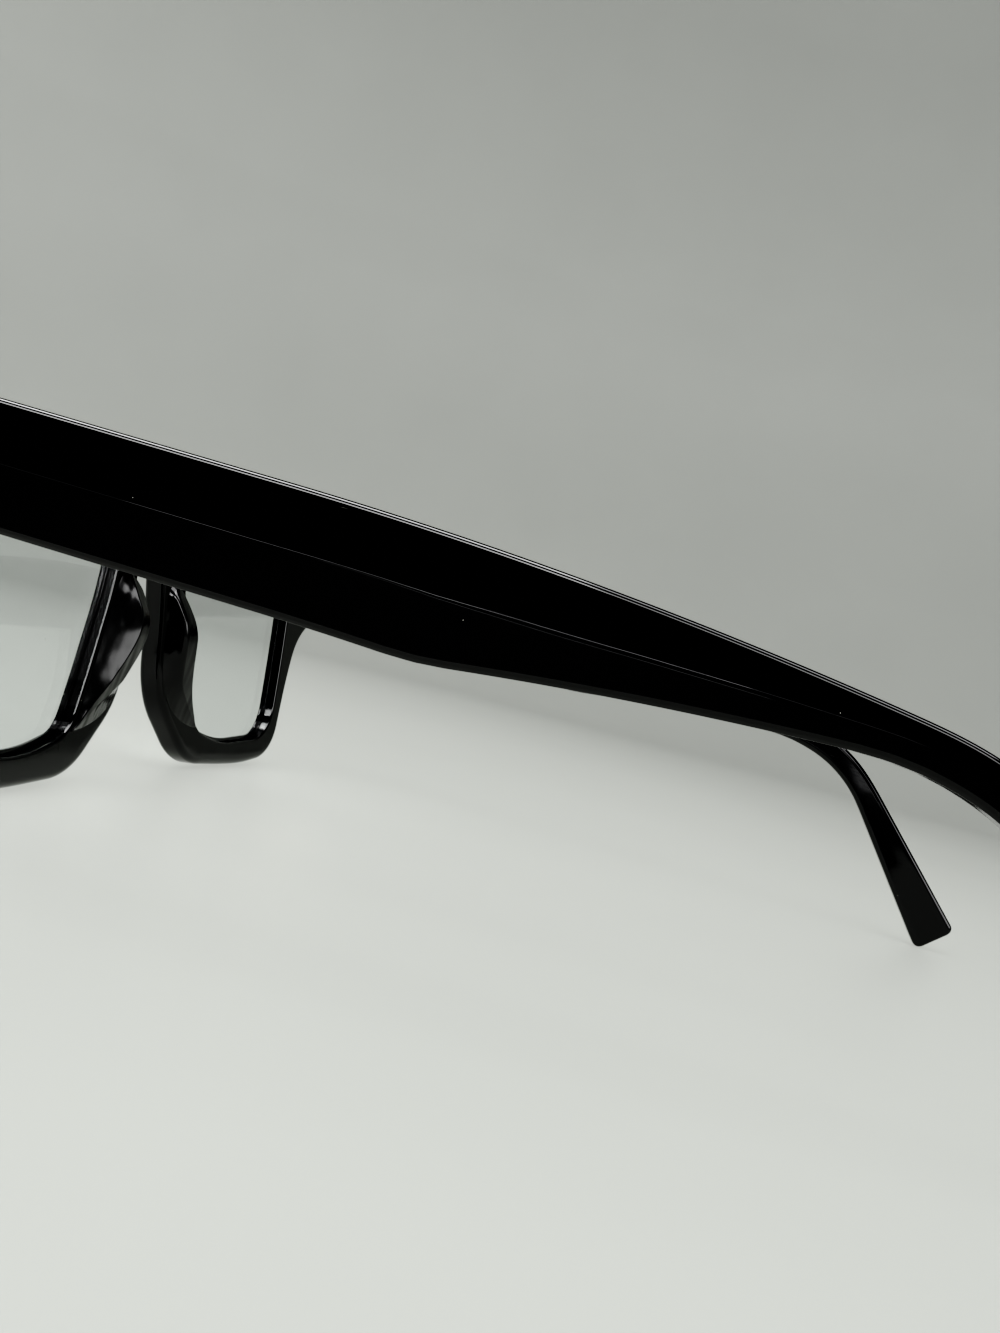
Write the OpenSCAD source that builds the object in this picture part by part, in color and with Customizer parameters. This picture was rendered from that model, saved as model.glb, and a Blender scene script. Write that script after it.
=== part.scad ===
// Square acetate eyeglasses, open and standing on the rims and the temple tips.
// Millimetres. +X is the wearer's left, +Y runs back along the temples, +Z is up.
// The origin lies on the floor, under the middle of the glasses' length and width.

/* [Front] */
// Width across the two endpieces
front_w = 140; // [132:1:150]
// Thickness of the acetate front
front_t = 4.3; // [4.2:0.1:5.2]
// Radius of the bow that wraps the front round the face
bow_r = 560; // [400:10:900]
// Lean of the front, lower rims towards the cheeks, in degrees
lean = 9; // [6:1:11]
// Height of the brow above the top of the lens opening
brow_w = 5.4; // [4.4:0.2:7]
// Width of the rim below the lens opening
lower_rim_w = 4; // [3:0.2:5.4]
// Width of the rim on the nose side
nasal_rim_w = 4.9; // [4:0.1:5.4]
// Width of the rim on the temple side
outer_rim_w = 4.8; // [4:0.2:7]
// Height of the endpiece that carries the hinge
endpiece_h = 14; // [13:0.2:16]

/* [Lenses] */
// Width of each lens opening
lens_w = 44.8; // [42:0.2:50]
// Height of each lens opening
lens_h = 39; // [34:0.2:42]
// Distance between the two lens openings
bridge_w = 17.8; // [16:0.2:20]
// How far the nose side of the opening slants out towards the cheek
nasal_slant = 11.2; // [9:0.2:12]
// How far the temple side of the opening slants in towards the cheek
outer_slant = 3.5; // [2:0.1:4.5]
// Radius of the lower corners next to the nose
nasal_corner_r = 7; // [5:0.5:8]
// Radius of the other lens corners
lens_corner_r = 8; // [5:0.5:9]
// Thickness of the lens
lens_t = 2; // [1.6:0.1:2.4]
// Depth of the groove that holds the lens
groove_depth = 0.7; // [0.5:0.1:0.9]
// Width of the groove along the thickness of the front
groove_w = 1; // [0.8:0.1:1.4]
// Depth of the lens behind the rear face of the front
lens_set_in = 1.6; // [1.2:0.1:1.8]

/* [Temples] */
// Length of the temple along its upper edge
temple_l = 157; // [146:1:164]
// Height of the temple at the hinge
temple_h = 12.8; // [11.6:0.1:14]
// Height of the temple at the kink
kink_h = 12.5; // [9:0.1:14]
// Thickness of the temple
temple_t = 3.9; // [3.8:0.1:5]
// Height of the slim stretch over the ear
waist_h = 4.5; // [4.2:0.1:6.4]
// Height of the blunt tip
tip_h = 8; // [7:0.1:10]
// Distance from the hinge end to the kink where the temple starts to taper
kink_at = 61; // [50:1:70]
// Distance from the hinge end to the start of the ear bend
bend_at = 104; // [98:1:112]
// Length of the ear bend
bend_l = 25.5; // [20:0.5:34]
// Angle of the ear bend, in degrees
bend_angle = 38; // [30:1:46]
// Distance from the hinge end to the start of the slow downward curve
curve_at = 44; // [24:1:60]
// Slow downward curve of the temple before the bend, in degrees
temple_curve = 7.8; // [4:0.2:12]
// Inward turn of the open temple, in degrees
toe_in = 2.8; // [2:0.2:6]
// Height of the crest line above the two facets of the outer face
crest_h = 0.35; // [0.2:0.05:0.5]
// Radius of the rounded corners at the end of the tip
tip_corner_r = 1.4; // [0.8:0.1:2.4]
// Width of the rounded long edges
edge_r = 0.9; // [0.5:0.1:1.2]

/* [Hinges] */
// Outer radius of the hinge barrels
barrel_r = 1.5; // [1.4:0.1:1.8]
// Height of the five barrels together
barrel_h = 7.2; // [6:0.2:8.4]
// Radius of the screw's shank
screw_r = 0.7; // [0.5:0.05:0.8]
// Radius of the screw's head
screw_head_r = 1.2; // [1:0.05:1.4]
// Height of the screw's head
screw_head_h = 0.6; // [0.4:0.1:1]
// Width of the slot in the screw's head
slot_w = 0.3; // [0.2:0.05:0.4]
// Thickness of the plates that are sunk into the acetate
plate_t = 1.1; // [0.9:0.1:1.3]
// How far the plates stand out of the acetate
plate_proud = 0.15; // [0.1:0.05:0.3]
// Length of the plate in the temple
temple_plate_l = 10; // [7:0.5:13]
// Width of the plate in the front
front_plate_w = 5.6; // [4.6:0.1:6]
// Height of both plates
plate_h = 9.4; // [8.6:0.1:9.8]
// Radius of the wire inside the temple
core_r = 0.7; // [0.5:0.05:0.8]
// Length of temple past the end of the wire
core_stop = 7; // [5:0.5:12]

/* [Nose pads] */
// Height of the pad's crest above the rear face of the front
pad_rise = 4.2; // [3.4:0.2:5.4]
// Length of the pad along the rim
pad_l = 23; // [20:0.5:24]
// Width of the pad's crest
pad_w = 3.8; // [3:0.2:4.2]

/* [Clearances] */
// Gap between the hinge end of the temple and the front
end_gap = 0.25; // [0.2:0.05:0.5]
// Gap between the barrels and the inner face of the temple
barrel_clear = 0.2; // [0.15:0.05:0.4]
// Running clearance between the screw and the moving barrels, on the radius
run_gap = 0.05; // [0.02:0.01:0.08]
// Gap between neighbouring barrels
barrel_gap = 0.06; // [0.04:0.01:0.12]
// Clearance round the lens in its groove, and round the pieces set into the acetate
fit_gap = 0.03; // [0.02:0.01:0.06]

/* [Hidden] */

acetate = [0.03, 0.03, 0.035];
steel = [0.72, 0.72, 0.74];
clear_lens = [0.8, 0.88, 0.9, 0.35];
round_fn = 48;
bow_fn = 720;
corner_steps = 8;
// Overshoot of the tools that cut right through something
over = 1;

// Outlines lie in the plane of the front: x sideways, w upwards from the top of the temple.
half_w = front_w / 2;
lens_top = -2.3;
lens_low = lens_top - lens_h;
lens_in = bridge_w / 2;
lens_out = lens_in + lens_w;
lens_mid = (lens_in + lens_out) / 2;
corner_lift = 1.1;
nasal_lift = 2.9;

// Each corner is x, w and the radius of its rounding, counter-clockwise round the opening.
// A radius that is too large for the edges beside it becomes the largest that fits.
lens_corners = fitted([
    [lens_in + nasal_slant, lens_low + nasal_lift, nasal_corner_r],
    [lens_mid, lens_low, 400],
    [lens_out - outer_slant, lens_low + corner_lift, lens_corner_r],
    [lens_out - outer_slant / 3.5, lens_top - lens_h / 2, 300],
    [lens_out, lens_top - corner_lift, lens_corner_r],
    [lens_mid, lens_top, 400],
    [lens_in, lens_top - corner_lift, lens_corner_r],
    [lens_in + 0.3 * nasal_slant, lens_top - 0.4 * lens_h, 60],
    [lens_in + 0.68 * nasal_slant, lens_top - 0.7 * lens_h, 100]
]);

// Left half of the front's outer outline, from under the bridge round to its top
brow_top = lens_top + brow_w;
endpiece_top = 0.9;
endpiece_low = endpiece_top - endpiece_h;
bridge_low = lens_top - 6;
bridge_top = lens_top + 3.6;
nasal_x = lens_in - nasal_rim_w;
rim_low = lens_low - lower_rim_w;
rim_out = lens_out + outer_rim_w;
half_corners = [
    [nasal_x - 0.4, bridge_low, 4],
    [nasal_x + 0.13 * nasal_slant, lens_top - 0.45 * lens_h, 100],
    [nasal_x + 0.16 * nasal_slant, lens_low + 8.5, 40],
    [nasal_x + 1.3 * nasal_slant, rim_low + 0.8, 14],
    [lens_in + 2 * nasal_slant, rim_low + 0.2, 200],
    [lens_mid + 9, rim_low, 300],
    [rim_out - 5.8, rim_low + 1.4, 12],
    [rim_out - 2.3, lens_top - 0.66 * lens_h, 90],
    [rim_out + 0.7, endpiece_low - 6.2, 16],
    [half_w - 0.6, endpiece_low, 4],
    [half_w, endpiece_low + 2.6, 10],
    [half_w, endpiece_top, 3],
    [half_w - 15, brow_top - 0.4, 200],
    [lens_mid + 2, brow_top + 0.3, 400],
    [lens_in + 9, brow_top - 0.6, 200],
    [lens_in - 3, bridge_top, 60]
];

// Corner rounding and growing of an outline
function unit(v) = v / norm(v);
function spot(corners, i) =
    let (c = corners[(i + len(corners)) % len(corners)]) [c[0], c[1]];
function largest_r(a, b, c) =
    0.49 * min(norm(b - a), norm(c - b)) / tan(acos(min(unit(b - a) * unit(c - b), 1)) / 2);
function fitted(corners) =
    [for (i = [0:len(corners) - 1])
        let (b = spot(corners, i))
        [b[0], b[1], min(corners[i][2], largest_r(spot(corners, i - 1), b, spot(corners, i + 1)))]];
function round_corner(a, b, c, r) =
    let (
        u = unit(a - b),
        v = unit(c - b),
        half = acos(u * v) / 2,
        mid = b + unit(u + v) * r / sin(half),
        start = b + u * r / tan(half) - mid,
        end = b + v * r / tan(half) - mid,
        from = atan2(start[1], start[0]),
        turn = (atan2(end[1], end[0]) - from + 540) % 360 - 180
    )
    [for (k = [0:corner_steps])
        mid + r * [cos(from + turn * k / corner_steps), sin(from + turn * k / corner_steps)]];
function outline(corners) =
    [for (i = [0:len(corners) - 1])
        each round_corner(spot(corners, i - 1), spot(corners, i), spot(corners, i + 1), corners[i][2])];
function grow_corner(a, b, c, r, d) =
    let (
        e = unit(b - a),
        f = unit(c - b),
        n = [e[1], -e[0]],
        m = [f[1], -f[0]],
        shift = (n + m) / (1 + n * m),
        bulge = cross(e, f) > 0 ? 1 : -1
    )
    [b[0] + d * shift[0], b[1] + d * shift[1], r + bulge * d];
function grow(corners, d) =
    [for (i = [0:len(corners) - 1])
        grow_corner(spot(corners, i - 1), spot(corners, i), spot(corners, i + 1), corners[i][2], d)];

right_half = [for (i = [len(half_corners) - 1:-1:0])
    [-half_corners[i][0], half_corners[i][1], half_corners[i][2]]];
front_outline = outline(fitted(concat(half_corners, right_half)));

// Place of a face behind the hinge line: the rear face bows forward towards the nose.
bow_centre = sqrt(pow(bow_r, 2) - pow(half_w, 2));
function rear_face(x) = bow_centre - sqrt(pow(bow_r, 2) - pow(x, 2));
function front_face(x) = bow_centre - sqrt(pow(bow_r + front_t, 2) - pow(x, 2));

// A point of the front after its lean, and the leaned rear face at a height
function lean_z(x, w) = w * cos(lean) + front_face(x) * sin(lean);
function lean_y(x, w) = -w * sin(lean) + front_face(x) * cos(lean);
function rear_at(x, z) = rear_face(x) / cos(lean) - z * tan(lean);

// Temple: a path along the upper edge, with heights hung below it
path_steps = 56;
path_step = temple_l / path_steps;
function ramp(t) = min(max(t, 0), 1);
function smooth(t) = let (k = ramp(t)) k * k * (3 - 2 * k);
function slope(s) = temple_curve * ramp((s - curve_at) / (bend_at - curve_at))
    + bend_angle * smooth((s - bend_at) / bend_l);
path = [for (i = 0, y = 0, z = 0; i <= path_steps;
        y = y + path_step * cos(slope((i + 0.5) * path_step)),
        z = z - path_step * sin(slope((i + 0.5) * path_step)),
        i = i + 1)
    [y, z, slope(i * path_step)]];
height_rule = [
    [0, temple_h],
    [kink_at, kink_h],
    [bend_at, waist_h],
    [bend_at + 0.87 * bend_l, waist_h],
    [temple_l, tip_h]
];
crest_rule = [
    [0, 0.48 * temple_h],
    [kink_at, 0.49 * kink_h],
    [bend_at, 0.54 * waist_h],
    [temple_l, 0.45 * tip_h]
];
kink_blend = 3;
function eased(s, rule) =
    (lookup(s - kink_blend, rule) + 2 * lookup(s, rule) + lookup(s + kink_blend, rule)) / 4;

// The open temple dips just so far that its tip and the rims stand on one floor.
floor_z = min([for (p = front_outline) lean_z(p[0], p[1])]);
tip_end = path[path_steps];
tip_along = [cos(tip_end[2]), -sin(tip_end[2])];
tip_down = [-sin(tip_end[2]), -cos(tip_end[2])];
function tip_spot(down) = [tip_end[0], tip_end[1]] + down * tip_down - tip_corner_r * tip_along;
low_corner = tip_spot(tip_h - tip_corner_r);
high_corner = tip_spot(tip_corner_r);
dip = atan2(low_corner[1], low_corner[0]) - asin((floor_z + tip_corner_r) / norm(low_corner));
function reach(p) = p[0] * cos(dip) + p[1] * sin(dip) + tip_corner_r;
front_y = min([for (p = front_outline) lean_y(p[0], p[1])]);
rear_y = end_gap + max(reach(low_corner), reach(high_corner)) * cos(toe_in);
mid_y = (front_y + rear_y) / 2;

// Hinge line, first in the temple's own frame and then in the frame of the glasses
temple_x = half_w - 0.2;
axis_in = temple_t + barrel_clear + barrel_r;
axis_back = 2.7;
hinge_z = -0.5 * temple_h;
axis_x = temple_x - axis_in * cos(toe_in) - axis_back * sin(toe_in);
axis_y = end_gap - axis_in * sin(toe_in) + axis_back * cos(toe_in);
knuckle_h = barrel_h / 5;
barrel_low = hinge_z - barrel_h / 2;
// Wall of acetate between the hinge line and the plate in the temple
plate_back = 0.6;
// How far the webs run into their plates
web_bite = 0.35;

module stand() translate([0, -mid_y, -floor_z]) children();
module other_side(side) mirror([side == "right" ? 1 : 0, 0, 0]) children();
module lean_back() rotate([lean, 0, 0]) children();

// A slab of an outline that stands in the plane of the front
module slab(points, near, far)
    translate([0, far, 0])
    rotate([90, 0, 0])
    linear_extrude(height = far - near)
    polygon(points);

// What lies between two distances in front of the bowed rear face
module bowed(inner, outer)
    translate([0, bow_centre, -2 * front_w])
    difference() {
        cylinder(r = bow_r + outer, h = 4 * front_w, $fn = bow_fn);
        translate([0, 0, -over]) cylinder(r = bow_r + inner, h = 4 * front_w + 2 * over, $fn = bow_fn);
    }

// Distances that clear the bowed front on both sides
slab_near = -3 * front_t - 12;
slab_far = 6;
module bowed_slab(points, inner, outer)
    intersection() {
        slab(points, slab_near, slab_far);
        bowed(inner, outer);
    }

groove_mid = lens_set_in + lens_t / 2;

// The plate follows the bow of the rear face.
module front_plate(gap, rear)
    translate([axis_x, rear_face(axis_x), hinge_z])
    rotate([0, 0, asin(axis_x / bow_r)])
    translate([-front_plate_w / 2 - gap, plate_proud - plate_t - gap, -plate_h / 2 - gap])
    cube([front_plate_w + 2 * gap, plate_t + gap + rear, plate_h + 2 * gap]);

module front_frame()
    color(acetate)
    stand()
    lean_back()
    difference() {
        bowed_slab(front_outline, 0, front_t);
        for (side = ["left", "right"])
            other_side(side) {
                slab(outline(lens_corners), slab_near - over, slab_far + over);
                bowed_slab(outline(grow(lens_corners, groove_depth)),
                    groove_mid - groove_w / 2, groove_mid + groove_w / 2);
                front_plate(fit_gap, over);
            }
    }

module lens(side)
    color(clear_lens)
    stand()
    other_side(side)
    lean_back() {
        bowed_slab(outline(grow(lens_corners, -fit_gap)), lens_set_in, lens_set_in + lens_t);
        bowed_slab(outline(grow(lens_corners, groove_depth - fit_gap)),
            groove_mid - groove_w / 2 + fit_gap, groove_mid + groove_w / 2 - fit_gap);
    }

// The pad is a leaf of acetate, bonded to the rear of the rim beside the nose.
pad_top = lens_top - 0.3 * lens_h;
pad_end_r = 1.2;
function pad_x(w) = lens_in - 0.2 * nasal_rim_w
    + nasal_slant * pow(max((lens_top - w) / lens_h - 0.2, 0) / 0.7, 2);
module pad_ball(along, rise, r)
    let (w = pad_top - along * pad_l)
    translate([pad_x(w), rear_face(lens_in) + rise - r, w])
    sphere(r = r, $fn = 24);
module nose_pad(side)
    color(acetate)
    stand()
    other_side(side)
    lean_back()
    difference() {
        hull() {
            pad_ball(0.03, over, pad_end_r);
            pad_ball(0.2, 0.88 * pad_rise, 0.46 * pad_w);
            pad_ball(0.36, pad_rise, 0.5 * pad_w);
            pad_ball(0.64, 0.68 * pad_rise, 0.46 * pad_w);
            pad_ball(0.97, over, pad_end_r);
            pad_ball(0.4, 0.4, 0.52 * pad_w);
        }
        bowed(0, 4 * front_t);
    }

// The temple's own frame: outer face at x = 0, hinge end at y = 0, upper edge at z = 0
module temple_frame()
    translate([temple_x, end_gap, 0])
    rotate([0, 0, toe_in])
    children();

// Round a hinge line that stands at x = 0, y = 0
module knuckle(i, bore_r)
    translate([0, 0, barrel_low + i * knuckle_h])
    difference() {
        cylinder(r = barrel_r, h = knuckle_h - barrel_gap, $fn = round_fn);
        translate([0, 0, -over]) cylinder(r = bore_r, h = knuckle_h + 2 * over, $fn = round_fn);
    }

// A web ties a knuckle to its plate and lets the screw through.
module web(i, bore_r, points)
    translate([0, 0, barrel_low + i * knuckle_h])
    difference() {
        linear_extrude(height = knuckle_h - barrel_gap) polygon(points);
        translate([0, 0, -over]) cylinder(r = bore_r, h = knuckle_h + 2 * over, $fn = round_fn);
    }

module front_hinge(side)
    color(steel)
    stand()
    other_side(side) {
        translate([axis_x, axis_y, 0])
            for (i = [0, 2, 4])
                let (
                    bore_r = screw_r + fit_gap,
                    mid = barrel_low + (i + 0.5) * knuckle_h,
                    to = rear_at(axis_x, mid) + plate_proud - web_bite - axis_y
                ) {
                    knuckle(i, bore_r);
                    web(i, bore_r, [[-barrel_r, to], [barrel_r, to], [barrel_r, 0], [-barrel_r, 0]]);
                }
        lean_back() front_plate(0, 0);
    }

module temple_plate(gap, inner)
    translate([-temple_t - plate_proud - inner, axis_back + plate_back - gap, hinge_z - plate_h / 2 - gap])
    cube([plate_t + inner + gap, temple_plate_l + 2 * gap, plate_h + 2 * gap]);

// The web leaves the barrel along its side and steps into the plate.
web_in = barrel_r + barrel_clear - plate_proud + web_bite;
module temple_hinge(side)
    color(steel)
    stand()
    other_side(side)
    temple_frame() {
        translate([-axis_in, axis_back, 0])
            for (i = [1, 3])
                let (bore_r = screw_r + run_gap, step = plate_back + web_bite) {
                    knuckle(i, bore_r);
                    web(i, bore_r, [
                        [-barrel_r, 0], [barrel_r, 0], [barrel_r, step], [web_in, step],
                        [web_in, plate_back + 2 * barrel_r], [-barrel_r, barrel_r]
                    ]);
                }
        temple_plate(0, 0);
    }

module hinge_screw(side)
    color(steel)
    stand()
    other_side(side)
    translate([axis_x, axis_y, barrel_low]) {
        cylinder(r = screw_r, h = barrel_h, $fn = round_fn);
        translate([0, 0, barrel_h - barrel_gap + fit_gap]) difference() {
            cylinder(r = screw_head_r, h = screw_head_h, $fn = round_fn);
            translate([-2 * screw_head_r, -slot_w / 2, screw_head_h / 2])
                cube([4 * screw_head_r, slot_w, screw_head_h]);
        }
    }

// Closed skin over a row of rings that have as many points each
module skin(rings) {
    n = len(rings[0]);
    last = len(rings) - 1;
    polyhedron(
        points = [for (ring = rings) each ring],
        faces = [
            [for (j = [0:n - 1]) j],
            [for (j = [n - 1:-1:0]) last * n + j],
            for (i = [0:last - 1], j = [0:n - 1]) each [
                [i * n + j, (i + 1) * n + j, i * n + (j + 1) % n],
                [i * n + (j + 1) % n, (i + 1) * n + j, (i + 1) * n + (j + 1) % n]
            ]
        ]
    );
}

// Distances along the temple where its section is drawn, closer together round the tip's corners
tip_cuts = [0.75, 0.5, 0.3, 0.14, 0.04, 0];
stations = [
    for (i = [0:path_steps - 2]) i * path_step,
    for (k = tip_cuts) temple_l - 2 * tip_corner_r * k
];
function along(s, k) =
    let (i = min(max(floor(s / path_step), 0), path_steps - 1), f = s / path_step - i)
    path[i][k] * (1 - f) + path[i + 1][k] * f;
function tip_inset(s) =
    let (e = temple_l - s)
    e >= tip_corner_r ? 0 : tip_corner_r - sqrt(pow(tip_corner_r, 2) - pow(tip_corner_r - e, 2));

// Section of the temple: outward and downward distances, clockwise from the outer top edge
function section(h, crest) = let (t = temple_t, r = min(edge_r, h / 4)) [
    [-crest_h, r],
    [0, crest],
    [-crest_h, h - 1.2 * r],
    [-crest_h - 0.4 * r, h - 0.4 * r],
    [-crest_h - 1.2 * r, h],
    [-t + r, h],
    [-t + 0.3 * r, h - 0.3 * r],
    [-t, h - r],
    [-t, r],
    [-t + 0.3 * r, 0.3 * r],
    [-t + r, 0],
    [-crest_h - r, 0],
    [-crest_h - 0.3 * r, 0.3 * r]
];
// The hinge end is cut parallel to the leaning front, and the cut fades out along the temple.
butt_l = 12;
function hinge_cut(s, down) = down * tan(lean + dip) * ramp(1 - s / butt_l);
function placed(s, x, down) =
    let (a = along(s, 2))
    [x, along(s, 0) - down * sin(a) + hinge_cut(s, down), along(s, 1) - down * cos(a)];
function temple_ring(s) =
    let (
        inset = tip_inset(s),
        h = eased(s, height_rule) - 2 * inset,
        crest = eased(s, crest_rule) - inset
    )
    [for (p = section(h, crest)) placed(s, p[0], p[1] + inset)];

// The wire runs midway between the crest and the bottom of the plate's pocket.
core_x = -(crest_h + temple_t + plate_proud - plate_t) / 2;
core_from = 0.5;
core_end = temple_l - core_stop;
function core_ring(s, r) =
    let (mid = eased(s, height_rule) / 2)
    [for (k = [0:7]) placed(s, core_x + r * cos(45 * k), mid + r * sin(45 * k))];
function core_stations(from, to) =
    [from, for (i = [1:path_steps]) if (i * path_step < to - over) i * path_step, to];

module dipped() rotate([-dip, 0, 0]) children();

module temple(side)
    color(acetate)
    stand()
    other_side(side)
    temple_frame()
    difference() {
        dipped() skin([for (s = stations) temple_ring(s)]);
        dipped() skin([for (s = core_stations(-over, core_end + fit_gap)) core_ring(s, core_r + fit_gap)]);
        temple_plate(fit_gap, over);
    }

module core_wire(side)
    color(steel)
    stand()
    other_side(side)
    temple_frame()
    dipped()
    skin([for (s = core_stations(core_from, core_end)) core_ring(s, core_r)]);

front_frame();
lens("left");  // left_lens
lens("right");  // right_lens
nose_pad("left");  // left_nose_pad
nose_pad("right");  // right_nose_pad
front_hinge("left");  // left_front_hinge
front_hinge("right");  // right_front_hinge
hinge_screw("left");  // left_hinge_screw
hinge_screw("right");  // right_hinge_screw
temple("left");  // left_temple
temple("right");  // right_temple
core_wire("left");  // left_core_wire
core_wire("right");  // right_core_wire
temple_hinge("left");  // left_temple_hinge
temple_hinge("right");  // right_temple_hinge
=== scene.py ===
import math

import bmesh
import bpy
import numpy as np
from mathutils import Matrix, Vector, geometry


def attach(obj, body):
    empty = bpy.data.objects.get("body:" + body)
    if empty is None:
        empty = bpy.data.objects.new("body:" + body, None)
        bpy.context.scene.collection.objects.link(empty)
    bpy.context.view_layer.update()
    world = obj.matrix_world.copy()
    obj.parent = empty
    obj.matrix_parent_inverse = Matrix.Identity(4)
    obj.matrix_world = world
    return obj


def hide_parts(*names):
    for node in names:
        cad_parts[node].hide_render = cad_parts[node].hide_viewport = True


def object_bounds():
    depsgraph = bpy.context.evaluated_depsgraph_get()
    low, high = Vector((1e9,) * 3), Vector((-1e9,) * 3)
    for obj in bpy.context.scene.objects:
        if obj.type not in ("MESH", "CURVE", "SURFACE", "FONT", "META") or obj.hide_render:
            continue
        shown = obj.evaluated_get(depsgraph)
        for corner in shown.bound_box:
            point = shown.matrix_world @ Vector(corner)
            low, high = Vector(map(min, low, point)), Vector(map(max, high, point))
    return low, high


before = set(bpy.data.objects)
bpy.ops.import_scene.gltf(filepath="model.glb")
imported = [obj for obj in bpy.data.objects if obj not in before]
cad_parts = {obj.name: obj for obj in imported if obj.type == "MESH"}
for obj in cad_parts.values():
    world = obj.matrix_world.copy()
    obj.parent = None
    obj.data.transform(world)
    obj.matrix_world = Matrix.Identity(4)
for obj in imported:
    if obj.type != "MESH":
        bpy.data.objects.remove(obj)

cad_low, cad_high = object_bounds()

# Camera
# A phone camera close to the left temple and level with it, turned a little towards the front and rolled,
# so that the temple runs down across the picture.
eye = Vector((0.16381, 0.01841, 0.03263))
turn_to_front = math.radians(10.191)
look_down = math.radians(0.216)
roll = math.radians(14.63)
focal_px = 1100
picture_h = 1333
sensor_mm = 36

ahead, right, up = Vector((-1, 0, 0)), Vector((0, 1, 0)), Vector((0, 0, 1))
ahead, right = (
    math.cos(turn_to_front) * ahead - math.sin(turn_to_front) * right,
    math.cos(turn_to_front) * right + math.sin(turn_to_front) * ahead,
)
ahead, up = (
    math.cos(look_down) * ahead - math.sin(look_down) * up,
    math.cos(look_down) * up + math.sin(look_down) * ahead,
)
right, up = (
    math.cos(roll) * right + math.sin(roll) * up,
    math.cos(roll) * up - math.sin(roll) * right,
)
camera = bpy.data.objects.new("camera", bpy.data.cameras.new("camera"))
camera.data.sensor_width = sensor_mm
camera.data.lens = sensor_mm * focal_px / picture_h
camera.data.clip_start = 0.005
camera.matrix_world = Matrix.Translation(eye) @ Matrix((right, up, -ahead)).transposed().to_4x4()
bpy.context.scene.collection.objects.link(camera)
bpy.context.scene.camera = camera

# The photo's blacks are sunk by its tone curve, so the display curve has a toe.
display = bpy.context.scene.view_settings
display.view_transform = "Standard"
display.use_curve_mapping = True
toe = display.curve_mapping.curves[3]
toe_points = (
    (0.02, 0.0012), (0.036, 0.005), (0.055, 0.0145), (0.075, 0.031),
    (0.1, 0.062), (0.15, 0.133), (0.21, 0.21),
)
for level, shown in toe_points:
    toe.points.new(level, shown)
display.curve_mapping.update()

# Front
# One piece of black cellulose acetate sheet, milled with its rims and lens grooves, heat-bowed round
# the face and tumbled until every edge is round and glossy. Pockets for the hinge plates are sunk in
# its rear face.
front_w = 140.0
front_t = 4.3
bow_r = 560.0
lean = math.radians(9)
brow_w = 5.4
lower_rim_w = 4.0
nasal_rim_w = 4.9
outer_rim_w = 4.8
endpiece_h = 14.0
lens_w, lens_h, bridge_w = 44.8, 39.0, 17.8
nasal_slant, outer_slant = 11.2, 3.5
nasal_corner_r, lens_corner_r = 7.0, 8.0
lens_t, lens_set_in = 2.0, 1.6
groove_depth, groove_w = 0.7, 1.0
fit_gap = 0.03
outer_round = 1.15
opening_round = 0.45
lip_round = 0.25
arc_steps = 12
longest_step = 1.2
grid_step = 1.5

half_w = front_w / 2
lens_top = -2.3
lens_low = lens_top - lens_h
lens_in = bridge_w / 2
lens_out = lens_in + lens_w
lens_mid = (lens_in + lens_out) / 2
corner_lift, nasal_lift = 1.1, 2.9


def unit(v):
    return v / np.linalg.norm(v)


def fitted(corners):
    """Rows of x, height and radius, with each radius cut to the largest that fits beside its neighbours."""
    made = []
    for i, (x, w, r) in enumerate(corners):
        b = np.array([x, w])
        a = np.array(corners[i - 1][:2])
        c = np.array(corners[(i + 1) % len(corners)][:2])
        bend = math.acos(min(unit(b - a) @ unit(c - b), 1))
        most = 0.49 * min(np.linalg.norm(b - a), np.linalg.norm(c - b)) / max(math.tan(bend / 2), 1e-6)
        made.append([x, w, min(r, most)])
    return made


def grown(corners, d):
    """The same outline moved outwards by d, with as many corners."""
    made = []
    for i, (x, w, r) in enumerate(corners):
        b = np.array([x, w])
        e = unit(b - np.array(corners[i - 1][:2]))
        f = unit(np.array(corners[(i + 1) % len(corners)][:2]) - b)
        n, m = np.array([e[1], -e[0]]), np.array([f[1], -f[0]])
        bulge = 1 if e[0] * f[1] - e[1] * f[0] > 0 else -1
        shift = (n + m) / (1 + n @ m)
        made.append([x + d * shift[0], w + d * shift[1], r + bulge * d])
    return made


def traced(corners, counts=None, steps=arc_steps, longest=longest_step):
    """Points round an outline, and how many pieces each straight has, so that offsets get as many."""
    arcs = []
    for i, (x, w, r) in enumerate(corners):
        b = np.array([x, w])
        u = unit(np.array(corners[i - 1][:2]) - b)
        v = unit(np.array(corners[(i + 1) % len(corners)][:2]) - b)
        half = math.acos(max(-1, min(1, u @ v))) / 2
        mid = b + unit(u + v) * r / math.sin(half)
        start = b + u * r / math.tan(half) - mid
        end = b + v * r / math.tan(half) - mid
        first = math.atan2(start[1], start[0])
        turn = (math.atan2(end[1], end[0]) - first + 3 * math.pi) % (2 * math.pi) - math.pi
        t = first + turn * np.arange(steps + 1) / steps
        arcs.append(mid + r * np.stack([np.cos(t), np.sin(t)], 1))
    gaps = [(arcs[i][-1], arcs[(i + 1) % len(arcs)][0]) for i in range(len(arcs))]
    if counts is None:
        counts = [max(1, math.ceil(np.linalg.norm(q - p) / longest)) for p, q in gaps]
    points = []
    for arc, (p, q), n in zip(arcs, gaps, counts):
        points.extend(arc)
        points.extend(p + (q - p) * k / n for k in range(1, n))
    return np.array(points), counts


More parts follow.
